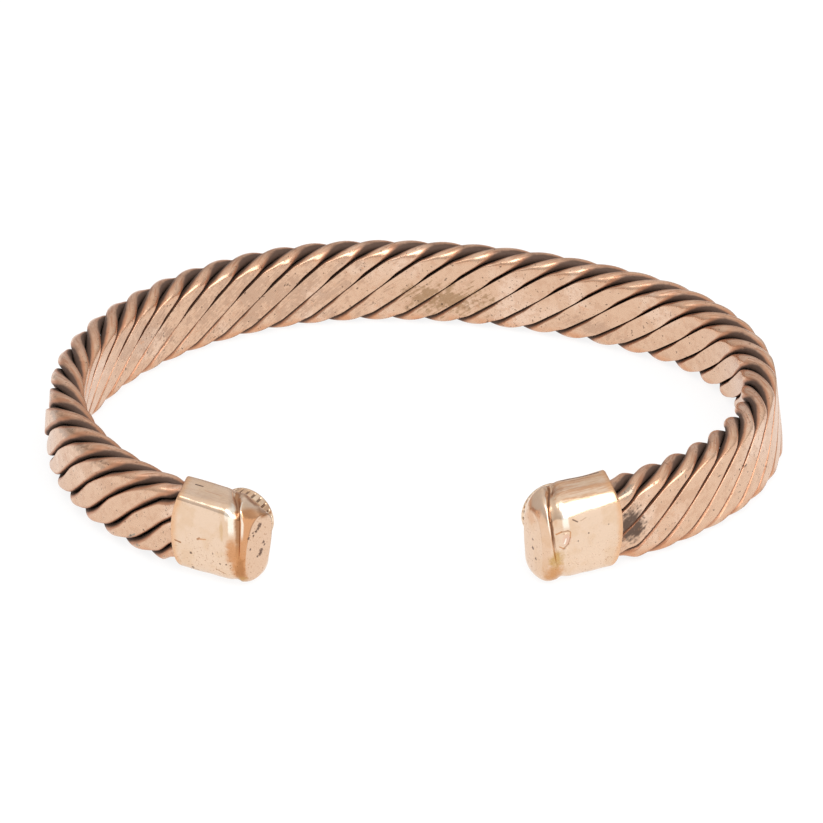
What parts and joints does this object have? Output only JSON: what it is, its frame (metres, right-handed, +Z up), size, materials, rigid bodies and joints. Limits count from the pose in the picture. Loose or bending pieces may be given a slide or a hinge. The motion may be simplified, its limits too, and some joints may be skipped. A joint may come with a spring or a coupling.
{
  "type": "twisted wire cuff bangle",
  "caption": "Open oval cuff bangle of round copper wires twisted and rolled flat, closed by two box-like end caps, each with a small toothed round setting on the wrist side.",
  "frame": {"origin": "on the floor, under the middle of the bangle's outline as it lies on its side", "axes": "+X across the bangle from its left arm to its right arm, +Y from the opening towards the closed back, +Z up, along the width of the band"},
  "size_m": [0.0656, 0.0521, 0.0081],
  "materials": {
    "copper_wire": "rose copper, polished on the rolled faces, with brown-black oxide in the grooves",
    "copper_cap": "bright polished copper with fine pits and scratches"
  },
  "bodies": {
    "root": {"strand_1": "copper_wire", "strand_2": "copper_wire", "strand_3": "copper_wire", "strand_4": "copper_wire", "strand_5": "copper_wire", "strand_6": "copper_wire", "strand_7": "copper_wire", "strand_8": "copper_wire", "end_cap_left": "copper_cap", "end_cap_right": "copper_cap", "bezel_left": "copper_cap", "bezel_right": "copper_cap"}
  },
  "joints": []
}
